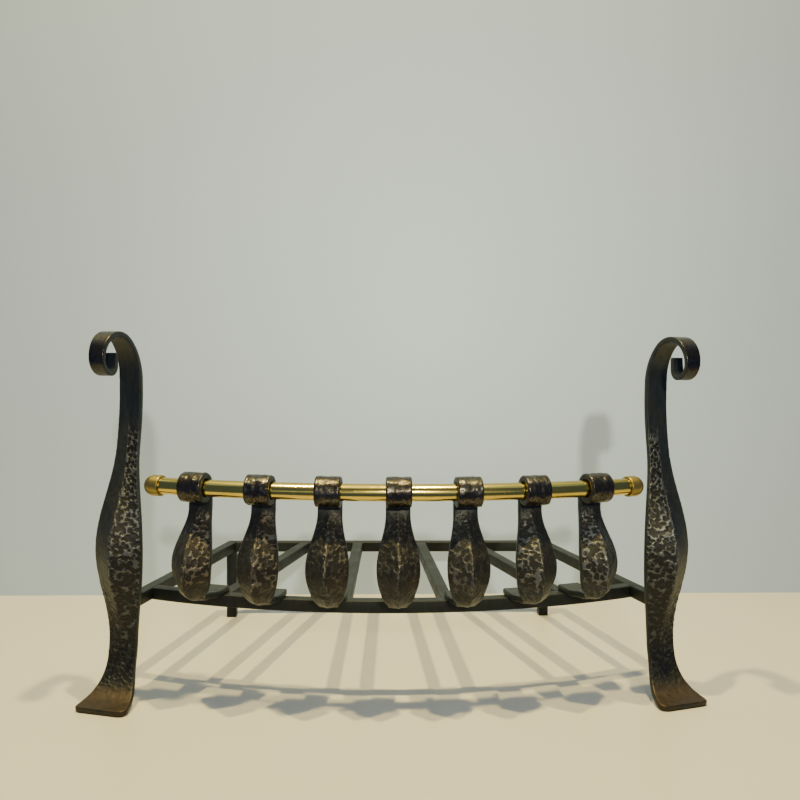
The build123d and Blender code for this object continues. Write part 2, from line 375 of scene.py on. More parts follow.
def apply_tree(made, tree, values):
    """Runs a geometry node tree on an object and keeps the plain mesh."""
    modifier = made.modifiers.new(tree.name, "NODES")
    modifier.node_group = tree
    for socket in tree.interface.items_tree:
        if socket.item_type == "SOCKET" and socket.in_out == "INPUT" and socket.name in values:
            modifier[socket.identifier] = values[socket.name]
    graph = bpy.context.evaluated_depsgraph_get()
    mesh = bpy.data.meshes.new_from_object(made.evaluated_get(graph))
    made.modifiers.remove(modifier)
    old = made.data
    made.data = mesh
    bpy.data.meshes.remove(old)


def bead_tree():
    """Lumps of weld metal strung along the edges of a mesh."""
    tree, entry, leave = geometry_tree("Weld beads", ("Spacing", "Radius", "Seed"))
    path = node(tree, "GeometryNodeMeshToCurve", {0: entry["Geometry"]})
    points = node(tree, "GeometryNodeResampleCurve", {"Curve": path.outputs[0], "Length": entry["Spacing"]},
                  mode="LENGTH")
    ball = node(tree, "GeometryNodeMeshIcoSphere", {"Radius": entry["Radius"], "Subdivisions": 2})
    inputs = {2: 0.75, 3: 1.25, "Seed": entry["Seed"]}
    size = node(tree, "FunctionNodeRandomValue", inputs, data_type="FLOAT")
    strung = node(tree, "GeometryNodeInstanceOnPoints",
                  {"Points": points.outputs[0], "Instance": ball.outputs[0], "Scale": size.outputs[1]})
    finish_tree(tree, strung.outputs[0], entry["Material"], leave[0])
    return tree


# Effects that materials share, as shader node groups
def shader_group(name, inputs, outputs):
    tree = bpy.data.node_groups.new(name, "ShaderNodeTree")
    entry, leave = new_sockets(tree, inputs, outputs)
    return tree, entry, leave


def scale_group():
    """Mill scale: blue-black iron with brown clouds, fine grain and dull specks."""
    tree, entry, leave = shader_group(
        "Iron scale", {"Place": "vector", "Brown": "value"},
        {"Colour": "colour", "Roughness": "value", "Relief": "value"})
    clouds = noise(tree, entry["Place"], 48.0, 4.0)
    grain = noise(tree, entry["Place"], 1100.0, 3.0, 0.6)
    streaks = noise(tree, vector_maths(tree, "MULTIPLY", entry["Place"], (1.0, 1.0, 0.3)), 210.0, 3.0)
    brown = plus(tree, entry["Brown"], remap(tree, clouds, 0.45, 0.7, 0.0, 0.2), clamp=True)
    streaked = remap(tree, streaks, 0.35, 0.65)
    black = mix_colour(tree, streaked, (0.013, 0.0185, 0.022), (0.020, 0.027, 0.031))
    rust = mix_colour(tree, streaked, (0.020, 0.014, 0.009), (0.032, 0.020, 0.012))
    colour = mix_colour(tree, brown, black, rust)
    specks = times(tree, remap(tree, grain, 0.62, 0.72), 0.3)
    wire(tree, mix_colour(tree, specks, colour, (0.06, 0.062, 0.060)), leave["Colour"])
    rough = remap(tree, clouds, 0.3, 0.7, 0.42, 0.54)
    wire(tree, plus(tree, rough, times(tree, grain, 0.06)), leave["Roughness"])
    wire(tree, plus(tree, grain, times(tree, streaks, 0.7)), leave["Relief"])
    return tree


def wear_group():
    """Where hammered iron is burnished: a net between the pits, strokes at the belly, and the ridge."""
    tree, entry, leave = shader_group(
        "Hammered wear",
        {"Pattern": "vector", "Strip": "vector", "Pit Size": "value", "Hammered": "value", "Worn": "value",
         "Ridge": "value", "Strokes": "value"},
        {"Pit": "value", "Bright": "value", "Relief": "value"})
    pattern = entry["Pattern"]
    strip = node(tree, "ShaderNodeSeparateXYZ", {0: entry["Strip"]}).outputs
    pit = times(tree, hammer_pits(tree, pattern, entry["Pit Size"]), entry["Hammered"])
    fine = noise(tree, pattern, 800.0, 4.0, 0.65)
    net = net_wear(tree, pattern, pit, entry["Hammered"], entry["Worn"])
    ridge = ridge_wear(tree, pattern, strip[0], pit, entry["Ridge"])
    strokes = times(tree, stroke_lines(tree, strip, pattern), times(tree, entry["Strokes"], 0.3))
    bright = maths(tree, "MAXIMUM", maths(tree, "MAXIMUM", net, ridge), strokes)
    bright = times(tree, bright, remap(tree, fine, 0.3, 0.6, 0.45, 1.0), clamp=True)
    wire(tree, pit, leave["Pit"])
    wire(tree, bright, leave["Bright"])
    relief = minus(tree, times(tree, fine, 0.22), times(tree, pit, 0.9))
    wire(tree, plus(tree, relief, times(tree, strokes, 0.8)), leave["Relief"])
    return tree


def net_wear(tree, pattern, pit, hammered, worn):
    """The net between the pits, broken up into patches."""
    patches = noise(tree, pattern, 130.0, 4.0, 0.6)
    reach = plus(tree, worn, times(tree, minus(tree, patches, 0.5), 3.4))
    reach = remap(tree, reach, 0.3, 0.85, smooth=True)
    net = times(tree, minus(tree, 1.0, pit), hammered)
    return times(tree, net, times(tree, reach, times(tree, worn, 0.75)))


def ridge_wear(tree, pattern, across, pit, ridge):
    """A ragged line that wanders along the ridge."""
    wander = times(tree, minus(tree, noise(tree, pattern, 70.0, 2.0), 0.5), 12 * MM)
    aside = maths(tree, "ABSOLUTE", plus(tree, across, wander))
    ragged = times(tree, minus(tree, noise(tree, pattern, 420.0, 4.0, 0.65), 0.5), 3.6)
    line = plus(tree, remap(tree, aside, 0.0, 3.2 * MM, 0.75, 0.0), ragged)
    line = times(tree, remap(tree, line, 0.5, 0.9, smooth=True), ridge)
    line = times(tree, line, remap(tree, aside, 2.5 * MM, 4 * MM, 1.0, 0.0, smooth=True))
    return times(tree, line, remap(tree, pit, 0.0, 1.0, 1.0, 0.3))


def stroke_lines(tree, strip, pattern):
    """Thin light lines that run from the ridge outwards and up, left by the hammer's edge."""
    out = maths(tree, "ABSOLUTE", strip[0])
    level = minus(tree, strip[1], times(tree, out, 1.1))
    slope = times(tree, plus(tree, strip[1], out), 0.22)
    own = node(tree, "ShaderNodeSeparateXYZ", {0: pattern}).outputs[2]
    place = node(tree, "ShaderNodeCombineXYZ", {"X": level, "Y": slope, "Z": own}).outputs[0]
    off = maths(tree, "ABSOLUTE", minus(tree, noise(tree, place, 190.0, 1.0), 0.5))
    return remap(tree, off, 0.01, 0.035, 1.0, 0.0, smooth=True)


def brass_group():
    """Brass: colour clouds, brown spots, the dullness of age, and fine marks of polishing."""
    tree, entry, leave = shader_group(
        "Polished brass surface", {"Place": "vector", "Dullness": "value", "Age": "value"},
        {"Colour": "colour", "Roughness": "value", "Relief": "value"})
    clouds = noise(tree, entry["Place"], 45.0, 3.0)
    drawn = vector_maths(tree, "MULTIPLY", entry["Place"], (0.12, 1.0, 1.0))
    spots = remap(tree, noise(tree, entry["Place"], 420.0, 2.0), 0.66, 0.74)
    colour = mix_colour(tree, remap(tree, clouds, 0.35, 0.65), (0.64, 0.49, 0.11), (0.54, 0.41, 0.09))
    colour = mix_colour(tree, entry["Age"], colour, (0.21, 0.165, 0.06))
    colour = mix_colour(tree, times(tree, spots, 0.3), colour, (0.34, 0.21, 0.05))
    wire(tree, colour, leave["Colour"])
    rough = plus(tree, entry["Dullness"], remap(tree, clouds, 0.3, 0.7, -0.02, 0.04))
    wire(tree, plus(tree, rough, times(tree, spots, 0.1)), leave["Roughness"])
    wire(tree, noise(tree, drawn, 1500.0, 3.0, 0.6), leave["Relief"])
    return tree


# Materials
def new_material(name):
    material = bpy.data.materials.new(name)
    material.use_nodes = True
    tree = material.node_tree
    return material, tree, tree.nodes["Principled BSDF"]


def attribute(tree, name, output="Fac"):
    return node(tree, "ShaderNodeAttribute", attribute_name=name).outputs[output]


def object_place(tree):
    return tree.nodes.new("ShaderNodeTexCoord").outputs["Object"]


def set_relief(tree, shader, height, distance, strength=1.0):
    inputs = {"Height": height, "Distance": distance, "Strength": strength}
    wire(tree, node(tree, "ShaderNodeBump", inputs).outputs["Normal"], shader.inputs["Normal"])


def dress(tree, shader, surface, colour, metallic, distance, strength=1.0):
    """Gives a shader its colour and metal share, and a surface group's roughness and relief."""
    wire(tree, colour, shader.inputs["Base Color"])
    shader.inputs["Metallic"].default_value = metallic
    wire(tree, surface["Roughness"], shader.inputs["Roughness"])
    set_relief(tree, shader, surface["Relief"], distance, strength)


def forged_material(scale, wear):
    """Hammered iron: dark scale in the pits, burnished between them, and each roll polished outside."""
    material, tree, shader = new_material("Forged iron")
    pattern = attribute(tree, "pattern", "Vector")
    polish = attribute(tree, "polish")
    hammered = attribute(tree, "hammered")
    skin_of = use_group(tree, scale, {"Place": object_place(tree), "Brown": attribute(tree, "rust")})
    worn = use_group(tree, wear, {
        "Pattern": pattern, "Strip": attribute(tree, "strip", "Vector"), "Pit Size": pit_size,
        "Hammered": hammered, "Worn": attribute(tree, "worn"), "Ridge": attribute(tree, "ridge"),
        "Strokes": attribute(tree, "strokes")})
    clouds = remap(tree, noise(tree, pattern, 60.0, 3.0), 0.35, 0.65)
    flecks = remap(tree, noise(tree, pattern, 420.0, 4.0, 0.65), 0.42, 0.62, smooth=True)
    # The warm tone is partly the iron's own and partly painted shade, lower on the uprights' left facets.
    tone = times(tree, attribute(tree, "warm"), remap(tree, clouds, 0.0, 1.0, 0.55, 1.0))
    colour = hammered_colour(tree, tone, worn, hammered, skin_of["Colour"])
    burnished = mix_colour(tree, clouds, (0.072, 0.073, 0.070), (0.062, 0.050, 0.042))
    burnished = mix_colour(tree, flecks, burnished, (0.028, 0.025, 0.021))
    colour = mix_colour(tree, times(tree, polish, 0.9), colour, burnished)
    wire(tree, colour, shader.inputs["Base Color"])
    shine = maths(tree, "MAXIMUM", worn["Bright"], polish)
    wire(tree, remap(tree, shine, 0.0, 1.0, 0.6, 0.95), shader.inputs["Metallic"])
    rough = plus(tree, remap(tree, worn["Bright"], 0.0, 1.0, 0.0, -0.12), skin_of["Roughness"])
    smoother = times(tree, polish, remap(tree, flecks, 0.0, 1.0, 0.24, 0.12))
    wire(tree, minus(tree, rough, smoother), shader.inputs["Roughness"])
    relief = plus(tree, worn["Relief"], times(tree, skin_of["Relief"], 0.16))
    set_relief(tree, shader, relief, 0.35 * MM)
    shader.inputs["Coat Weight"].default_value = 0.05
    shader.inputs["Coat Roughness"].default_value = 0.3
    return material


def hammered_colour(tree, tone, worn, hammered, scale_colour):
    """Dark pits, grey or brown faces between them, and bare metal where they are worn."""
    faced = mix_colour(tree, tone, (0.0195, 0.0205, 0.0190), (0.028, 0.0185, 0.011))
    pits = mix_colour(tree, tone, (0.010, 0.0098, 0.0085), (0.014, 0.009, 0.0055))
    metal = mix_colour(tree, tone, (0.175, 0.192, 0.20), (0.17, 0.142, 0.10))
    between = times(tree, hammered, minus(tree, 1.0, worn["Pit"]))
    between = times(tree, between, plus(tree, times(tree, tone, 0.5), 0.35))
    dark = mix_colour(tree, times(tree, worn["Pit"], 0.8), scale_colour, pits)
    dark = mix_colour(tree, between, dark, faced)
    return mix_colour(tree, worn["Bright"], dark, metal)


def bar_material(scale):
    """Black bar stock with mill scale, browned by the heat where it is welded."""
    material, tree, shader = new_material("Bar stock")
    brown = plus(tree, attribute(tree, "heat"), 0.02, clamp=True)
    surface = use_group(tree, scale, {"Place": object_place(tree), "Brown": brown})
    colour = mix_colour(tree, 0.45, surface["Colour"], (0.002, 0.0035, 0.0045))
    dress(tree, shader, surface, colour, 0.4, 0.2 * MM, 0.7)
    shader.inputs["Specular IOR Level"].default_value = 0.3
    return material


def weld_material(scale):
    """Weld metal painted over and rusting."""
    material, tree, shader = new_material("Weld metal")
    surface = use_group(tree, scale, {"Place": object_place(tree), "Brown": 0.75})
    dress(tree, shader, surface, surface["Colour"], 0.6, 0.3 * MM)
    return material


def brass_material(name, surface_group, dullness, age):
    """Brass of its own dullness and age."""
    material, tree, shader = new_material(name)
    inputs = {"Place": object_place(tree), "Dullness": dullness, "Age": age}
    surface = use_group(tree, surface_group, inputs)
    dress(tree, shader, surface, surface["Colour"], 1.0, 0.02 * MM, 0.5)
    return material


# Forged uprights: forward is measured from the rail's circle, and height from the floor
eye_turn, upright_step = 302, 0.8 * MM
neck_length, neck_width, eye_width = 17 * MM, 23 * MM, 23.6 * MM
leaf_width, leaf_ridge = 40 * MM, 16 * MM
leaf_full, leaf_widest = 0.24, 0.32
belly_forward, belly_tuck, belly_radius, belly_lift = 7 * MM, 3.7 * MM, 12 * MM, 2.5 * MM
belly_width, heel_width, heel_share = 31 * MM, 18 * MM, 0.3
tail_width, tail_overhang = 24 * MM, 1 * MM

neck_forward = -(rail_od / 2 + eye_clearance + strip_thick / 2)
eye_height = rail_height + eye_clearance - eye_seat
neck_height = eye_height - neck_length
upright_low = bar_top + strip_thick / 2
bend_forward = belly_forward - belly_tuck - belly_radius
bend_height = upright_low + belly_lift + belly_radius
belly_middle, belly_top = bar_top + 14 * MM, bar_top + 34 * MM
middle_upright = (upright_count + 1) / 2


def upright_line():
    """Centre line of an upright from its tail to the end of its eye, with its width and ridge."""
    parts = [tail_part(), belly_part(), leaf_part(), neck_part(), eye_part()]
    line, width, crown = (np.concatenate([part[index] for part in parts]) for index in range(3))
    return line, width, crown, len(line) - len(parts[-1][0])


def tail_part():
    """The flat tail on the front bar, and the heel behind the belly."""
    tail_end = -(rail_forward + bar_size / 2 + tail_overhang)
    tail_front = bar_size - rail_forward
    bar_face = bar_size / 2 - rail_forward
    forward = np.arange(tail_end, bend_forward, upright_step)
    height = upright_low + belly_lift * ease(-forward, -bend_forward, -tail_front)
    width = heel_width + (tail_width - heel_width) * ease(forward, bar_face, bend_forward)
    return np.stack([forward, height], axis=1), width, 0 * forward


def belly_part():
    """The bend from the tail up into the leaf."""
    turn = np.arange(0, 1, upright_step / (belly_radius * math.pi / 2))
    angle = turn * math.pi / 2
    forward = bend_forward + belly_radius * np.sin(angle)
    height = bend_height - belly_radius * np.cos(angle)
    width = belly_width + (heel_width - belly_width) * ease(turn, heel_share, 1)
    return np.stack([forward, height], axis=1), width, leaf_ridge * turn ** 2.2


def leaf_part():
    """The leaf, leaning back to the neck."""
    rise = neck_height - bend_height
    swing = belly_forward - neck_forward
    share = np.arange(0, 1, upright_step / rise)
    forward = neck_forward + swing * ease(share, leaf_full, 1) - belly_tuck * ease(share, 0, leaf_full)
    width = neck_width + (leaf_width - neck_width) * ease(share, leaf_widest, 0.93)
    width -= (leaf_width - belly_width) * np.maximum(1 - share / leaf_widest, 0) ** 2
    line = np.stack([forward, bend_height + share * rise], axis=1)
    return line, width, leaf_ridge * np.cos(share * math.pi / 2)


def neck_part():
    height = np.arange(neck_height, eye_height, upright_step)
    neck = np.stack([np.full(len(height), neck_forward), height], axis=1)
    return neck, np.linspace(neck_width, eye_width, len(neck)), 0 * height


def eye_part():
    """The eye, rolled round the rail."""
    count = round(math.radians(eye_turn) * -neck_forward / upright_step)
    eye, _ = arc_points((neck_forward, eye_height), math.pi / 2, -neck_forward, eye_turn, count)
    return eye, np.full(len(eye), eye_width), np.zeros(len(eye))


def inner_wear_and_light_share(loop, number):
    """How much each point of an upright faces the grate's middle, where it gets more hammer wear and bright
    metal: partly real wear, partly painted light.
    """
    lean = (number - middle_upright) / (upright_count - middle_upright)
    inwards = np.where(loop[:, :, 0] < 0, lean, -lean)
    return np.clip(0.62 + 0.5 * inwards, 0.05, 1)


def upright_piece(number, material, tree):
    line, width, crown, eye_start = upright_line()
    points = {"face": 24, "back": 20, "edge": 6, "rounding": 4}
    thick = np.full(len(line), strip_thick)
    half = width / 2
    place = radial(rail_radius, (number - middle_upright) * upright_pitch, 0)
    made, loop = strip_mesh(f"forged_upright_{number}", line, half, half, thick, crown, place, points)
    paint_upright(made, number, line[:, 1], crown, eye_start, loop, points)
    apply_tree(made, tree, {"Pit Size": pit_size, "Pit Depth": 0.4 * MM, "Dent Depth": 0.7 * MM,
                            "Seed": 0.37 * number, "Material": material})
    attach(made, "grate")
    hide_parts(f"upright_{number}")


def paint_upright(made, number, height, crown, eye_start, loop, points):
    """A hammered, worn leaf, strokes on its belly, and a dented eye, polished outside. The facets facing
    the middle get more wear, partly painted light, and the left facets a greyer, darker tone, painted
    shade.
    """
    front, back = face_masks(points)
    everywhere = np.ones(len(height))
    on_eye = (np.arange(len(height)) >= eye_start).astype(float)
    on_leaf = np.clip(crown / (4 * MM), 0, 1) * (1 - on_eye)
    inner = inner_wear_and_light_share(loop, number)
    belly = ease(height, belly_middle, belly_top) * on_leaf
    # The facets facing the grate's middle are painted more hammered and worn, with brighter metal: partly
    # real wear, partly painted light.
    paint(made, "hammered", on_leaf * (0.45 + 0.55 * (1 - belly)), front * (0.35 + 0.65 * inner))
    paint(made, "dented", everywhere, on_eye[:, None] * back + on_leaf[:, None] * front * 0.6)
    paint(made, "polish", on_eye, back)
    paint(made, "worn", on_leaf * (0.9 - 0.4 * belly), front * inner)
    paint(made, "strokes", belly, front)
    paint(made, "ridge", np.clip(crown / (5 * MM), 0, 1) * (1 - 0.5 * belly), front)
    paint(made, "rust", 0.08 * everywhere, np.ones(len(front)))
    warm = float(np.interp(number, (4, 6), (0.95, 0.35)))
    # The left facet gets only 0.35 of the warm tone, so it is greyer and darker: painted shade.
    paint(made, "warm", warm * everywhere, np.where(loop[:, :, 0] < -1 * MM, 0.35, 1.0))


# End posts
post_neck_width, tip_width, tip_thick = 23 * MM, 11 * MM, 4 * MM
inner_corner, outer_corner = 8 * MM, 4 * MM
post_step = 0.9 * MM
# The heights between which a post's finish changes
foot_rust, foot_marks, outer_marks = (8 * MM, 22 * MM), (8 * MM, 26 * MM), (96 * MM, 124 * MM)
worn_ridge, neck_marks = (90 * MM, 130 * MM), (248 * MM, 272 * MM)


def post_line():
    """Centre line of a post from its toe to the tip of its scroll, with its width, thickness and ridge."""
    body, body_width, crown = post_body()
    scroll = post_scroll(body[-1])
    rolled = np.arange(1, len(scroll) + 1) / len(scroll)
    line = np.concatenate([body, scroll])
    width = np.concatenate([body_width, post_neck_width + (tip_width - post_neck_width) * rolled])
    thinned = strip_thick + (tip_thick - strip_thick) * rolled
    thick = np.concatenate([np.full(len(body), strip_thick), thinned])
    return line, width, thick, np.concatenate([crown, 0 * rolled]), len(body)


def post_body():
    """The foot, stem, leaf and neck, up to where the scroll starts."""
    stem_width, widest = 28.8 * MM, 48.6 * MM
    leaf_height, leaf_below, leaf_above = 145 * MM, 90 * MM, 100 * MM
    ridge_rise, ridge_height, ridge_reach = 15 * MM, 132 * MM, 88 * MM
    toe_forward, toe_width, foot_flare = 40, 53 * MM, 58 * MM
    neck_back, scroll_start = -17.6, 309
    sole = strip_thick / MM / 2 - 0.3
    through = np.array([
        (toe_forward, sole), (30, 4.6), (17, 10.5), (4.2, 30), (-1.5, 60), (-0.5, 90),
        (5.2, 145), (-3.2, 200), (-13.3, 250), (-17.3, 285), (neck_back, scroll_start)]) * MM
    body = natural_curve(through, 368)
    height = body[:, 1]
    below = stem_width + (widest - stem_width) * ease(leaf_height - height, 0, leaf_below)
    above = post_neck_width + (widest - post_neck_width) * ease(height - leaf_height, 0, leaf_above)
    width = np.where(height < leaf_height, below, above)
    width += (toe_width - stem_width) * ease(run_along(body), -5 * MM, foot_flare)
    return body, width, ridge_rise * ease(abs(height - ridge_height), 0, ridge_reach)


def post_scroll(start):
    """The scroll: arcs of a radius in millimetres and a turn in degrees, each tighter but the tip."""
    turns = ((47, 45), (25.5, 45), (22.5, 90), (14, 90), (8, 80), (60, 12))
    spots, heading = [], math.pi / 2
    for radius, turn in turns:
        count = round(radius * MM * math.radians(turn) / post_step)
        arc, heading = arc_points(start, heading, radius * MM, turn, count)
        spots.append(arc)
        start = arc[-1]
    return np.concatenate(spots)


def rounded_corner(run, half, radius):
    """Half width near the toe, where a corner of this radius is taken off."""
    short = np.clip(radius - run, 0, radius)
    return half - radius + np.sqrt(radius ** 2 - short ** 2)


def post_piece(side, material, tree):
    """A post; side is 1 on the right and -1 on the left. It is made on the right and mirrored."""
    line, width, thick, crown, scroll_at = post_line()
    points = {"face": 30, "back": 24, "edge": 6, "rounding": 4}
    run = run_along(line)
    inner_half = rounded_corner(run, width / 2, inner_corner)
    outer_half = rounded_corner(run, width / 2, outer_corner)
    place = Matrix.Translation((post_x, front_y + post_y, 0)) @ Matrix.Rotation(post_turn, 4, "Z")
    name = "forged_post_right" if side > 0 else "forged_post_left"
    made, loop = strip_mesh(name, line, inner_half, outer_half, thick, crown, place, points)
    paint_post(made, line, crown, scroll_at, loop, points)
    apply_tree(made, tree, {"Pit Size": pit_size, "Pit Depth": 0.45 * MM, "Dent Depth": 0.8 * MM,
                            "Seed": 3.1 + side, "Material": material})
    if side < 0:
        made.data.transform(Matrix.Scale(-1, 4, (1, 0, 0)))
        made.data.flip_normals()
    ground(made.data)
    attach(made, "grate")
    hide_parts("right_post" if side > 0 else "left_post")


def paint_post(made, line, crown, scroll_at, loop, points):
    """Hammer marks from foot to neck, brighter metal higher up, a rusty foot and a polished scroll."""
    front, back = face_masks(points)
    run = run_along(line)
    height = line[:, 1]
    stem = (np.arange(len(line)) < scroll_at).astype(float)
    marks = ease(height, *neck_marks) * (1 - ease(height, *foot_marks)) * stem
    low = ease(height, *outer_marks)
    outer = np.where(loop[:, :, 0] > 0, 0.12 + 0.88 * low[:, None], 1.0)
    paint(made, "hammered", marks, front * outer)
    paint(made, "dented", 0.35 * stem, front)
    paint(made, "polish", np.where(stem > 0, 0.0, ease(run, run[-1] - 45 * MM, run[-1] - 30 * MM)), back)
    bright = np.interp(height / MM, (20, 60, 110, 150, 248, 270), (0.25, 0.5, 0.62, 0.85, 0.95, 0.3))
    paint(made, "worn", bright * stem, front * outer)
    paint(made, "strokes", 0 * height, front)
    ridge = np.clip(crown / (3 * MM), 0, 1) * (1 - 0.55 * ease(height, *worn_ridge))
    paint(made, "ridge", ridge, front)
    paint(made, "rust", 0.03 + 0.85 * ease(height, *foot_rust), np.ones(len(front)))
    paint(made, "warm", np.full(len(line), 0.1), np.ones(len(front)))


def ground(mesh):
    """Files the sole flat, so that nothing reaches below the floor."""
    co = np.zeros(3 * len(mesh.vertices))
    mesh.vertices.foreach_get("co", co)
    co[2::3] = np.maximum(co[2::3], 0)
    mesh.vertices.foreach_set("co", co)
    mesh.update()


# Bars and their welds
edge_radius = 0.9 * MM
first_cut, cut_pitch = 4 * MM, 6 * MM
heat_reach = 11 * MM
seam_inset = 1.5 * MM


def bar_copy(node_name, material):
    """A bar with rounded edges, cut into short lengths so that heat marks can be painted on it."""
    mesh = frame["nodes"][node_name].data.copy()
    shape = bmesh.new()
    shape.from_mesh(mesh)
    round_edges(shape)
    cut_up(shape)
    shape.to_mesh(mesh)
    shape.free()
    mesh.name = f"bar_{node_name}"
    mesh.materials.clear()
    mesh.materials.append(material)
    mesh.shade_smooth()
    made = linked(mesh.name, mesh)
    paint_heat(mesh)
    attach(made, "grate")
    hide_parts(node_name)


def round_edges(shape):
    """Merges loose triangles into clean faces and rounds the sharp edges."""
    bmesh.ops.remove_doubles(shape, verts=shape.verts, dist=1e-6)
    bmesh.ops.dissolve_limit(shape, angle_limit=math.radians(0.5), verts=shape.verts, edges=shape.edges)
    inner = [edge for edge in shape.edges if len(edge.link_faces) == 2]
    sharp = [edge for edge in inner if edge.calc_face_angle() > math.radians(30)]
    bmesh.ops.bevel(shape, geom=sharp, offset=edge_radius, segments=3, profile=0.5, affect="EDGES")
    bmesh.ops.triangulate(shape, faces=[face for face in shape.faces if len(face.verts) > 4])


def cut_up(shape):
    """Cuts a bar into short lengths."""
    for axis in range(2):
        extent = [vert.co[axis] for vert in shape.verts]
        normal = [0.0, 0.0, 0.0]
        normal[axis] = 1.0
        for cut in np.arange(min(extent) + first_cut, max(extent), cut_pitch):
            spot = [part * cut for part in normal]
            geometry = shape.verts[:] + shape.edges[:] + shape.faces[:]
            bmesh.ops.bisect_plane(shape, geom=geometry, plane_co=spot, plane_no=normal)


def side_line(y):
    """X of the right side bar's centre line, with y from the middle of the front bar."""
    return side_rear_x + (grate_depth - y) * side_lean_tan


def front_bar_rear(x):
    """Y of the front bar's rear face, from the middle of the bar."""
    return front_radius - math.sqrt((front_radius - bar_size / 2) ** 2 - x ** 2)


def joints_of_bars():
    """Plan positions where bars are welded, on the right half, from the middle of the front bar."""
    spots = [(side_rear_x, grate_depth), (side_line(55 * MM), 55 * MM), (side_line(10 * MM), 10 * MM)]
    for rear_x, front_x in fan_bars:
        spots += [(rear_x, grate_depth - bar_size / 2), (front_x, front_bar_rear(front_x))]
    return spots


def paint_heat(mesh):
    """Marks every vertex with how close it is to a weld."""
    co = np.zeros(3 * len(mesh.vertices))
    mesh.vertices.foreach_get("co", co)
    co = co.reshape(-1, 3)
    heat = np.zeros(len(co))
    for x, y in joints_of_bars():
        away = np.hypot(np.abs(co[:, 0]) - x, co[:, 1] - front_y - y)
        heat = np.maximum(heat, np.exp(-(away / heat_reach) ** 2))
    keep(mesh, "heat", heat)


def weld_seams():
    """Upright seams at the ends of the fan bars, as pairs of points."""
    low = bar_top - bar_size + seam_inset
    high = bar_top - seam_inset
    seams = []
    for rear_x, front_x in fan_bars:
        run = Vector((front_x - rear_x, -grate_depth, 0)).normalized()
        aside = Vector((-run.y, run.x, 0)) * bar_size / 2
        for x, y in ((rear_x, grate_depth - bar_size / 2), (front_x, front_bar_rear(front_x))):
            for edge in (-1, 1):
                spot = Vector((x, y + front_y, 0)) + aside * edge
                seams.append((spot.x, spot.y, low, high))
    seams += [(-x, y, start, end) for x, y, start, end in seams]
    return [((x, y, start), (x, y, end)) for x, y, start, end in seams]


def weld_piece(material, tree):
    seams = weld_seams()
    mesh = bpy.data.meshes.new("weld_beads")
    mesh.from_pydata([point for seam in seams for point in seam],
                     [(2 * index, 2 * index + 1) for index in range(len(seams))], [])
    made = linked("weld_beads", mesh)
    apply_tree(made, tree, {"Spacing": 1.6 * MM, "Radius": 1.3 * MM, "Seed": 5.0, "Material": material})
    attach(made, "grate")


# Rail and caps
def turned(name, profile, segments, place):
    """Closed solid of revolution about its own X axis; the profile is (along, radius), axis to axis."""
    angle = np.linspace(0, 2 * math.pi, segments, endpoint=False)
    along = np.repeat(profile[:, 0, None], segments, axis=1)
    radius = profile[:, 1, None]
    co = np.stack([along, radius * np.sin(angle), radius * np.cos(angle)], axis=2)
    return skin(name, co, place)


def rail_piece(material):
    """The tube, bent round the grate's centre, with an open bore."""
    around = np.linspace(0, 2 * math.pi, 56, endpoint=False)
    angles = np.linspace(-rail_half_length, rail_half_length, 120) / rail_radius
    rings = []
    for radius, order in ((rail_od / 2, angles), (rail_od / 2 - rail_wall, angles[::-1])):
        for angle in order:
            far = rail_radius + radius * np.cos(around)
            height = rail_height + radius * np.sin(around)
            x = arc_centre.x + far * math.sin(angle)
            y = arc_centre.y - far * math.cos(angle)
            rings.append(np.stack([x, y, height], axis=1))
    co = np.array(rings)
    stations, points = co.shape[:2]
    step = np.arange(points)
    following = (step + 1) % points
    faces = []
    for ring in range(stations):
        low, high = ring * points, (ring + 1) % stations * points
        faces += np.stack([low + step, high + step, high + following, low + following], axis=1).tolist()
    mesh = bpy.data.meshes.new("brass_tube")
    mesh.from_pydata(co.reshape(-1, 3).tolist(), [], faces)
    finish_brass(linked("brass_tube", mesh), material, "brass_rail")


def cap_piece(side, material):
    """Domed cap; side is 1 on the right and -1 on the left."""
    dome, bore, lip = cap_od / 2, rail_od / 2 + cap_fit, 0.9 * MM
    turn = np.linspace(0, math.pi / 2, 8)
    rim = np.stack([-cap_sleeve + lip - lip * np.cos(turn), dome - lip + lip * np.sin(turn)], axis=1)
    over = np.linspace(0, 1.55, 22)
    shell = np.stack([dome * np.sin(over), dome * np.cos(over)], axis=1)
    inside = [(0, 0.3 * MM), (0, bore - 0.1 * MM), (-0.2 * MM, bore), (-cap_sleeve, bore)]
    profile = np.concatenate([inside, rim, shell])
    place = radial(rail_radius, side * rail_half_length, rail_height)
    if side < 0:
        place = place @ Matrix.Rotation(math.pi, 4, "Z")
    name = "domed_cap_right" if side > 0 else "domed_cap_left"
    made = turned(name, profile, 64, place)
    finish_brass(made, material, "right_rail_cap" if side > 0 else "left_rail_cap")


def finish_brass(made, material, replaced):
    shape = bmesh.new()
    shape.from_mesh(made.data)
    bmesh.ops.recalc_face_normals(shape, faces=shape.faces)
    shape.to_mesh(made.data)
    shape.free()
    made.data.materials.append(material)
    made.data.shade_smooth()
    made.data.set_sharp_from_angle(angle=math.radians(35))
    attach(made, "rail")
    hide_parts(replaced)


# The room
def room():
    """A short pale floor, a lower one that carries it on for the camera alone, and a wall.
    The brass reflects the dark beyond the short floor."""
    material = floor_material()
    middle = Matrix.Translation((0, wall_y - floor_depth / 2, 0))
    floor = plane("floor", room_width, floor_depth, middle, material)
    below = Matrix.Translation((0, 0, -0.5 * MM))
    outer = plane("outer_floor", outer_floor_width, outer_floor_width, below, material)
    outer.visible_glossy = outer.visible_diffuse = outer.visible_shadow = False
    upright = Matrix.Translation((0, wall_y, wall_height / 2)) @ Matrix.Rotation(math.radians(90), 4, "X")
    wall = plane("wall", room_width, wall_height, upright, wall_material())


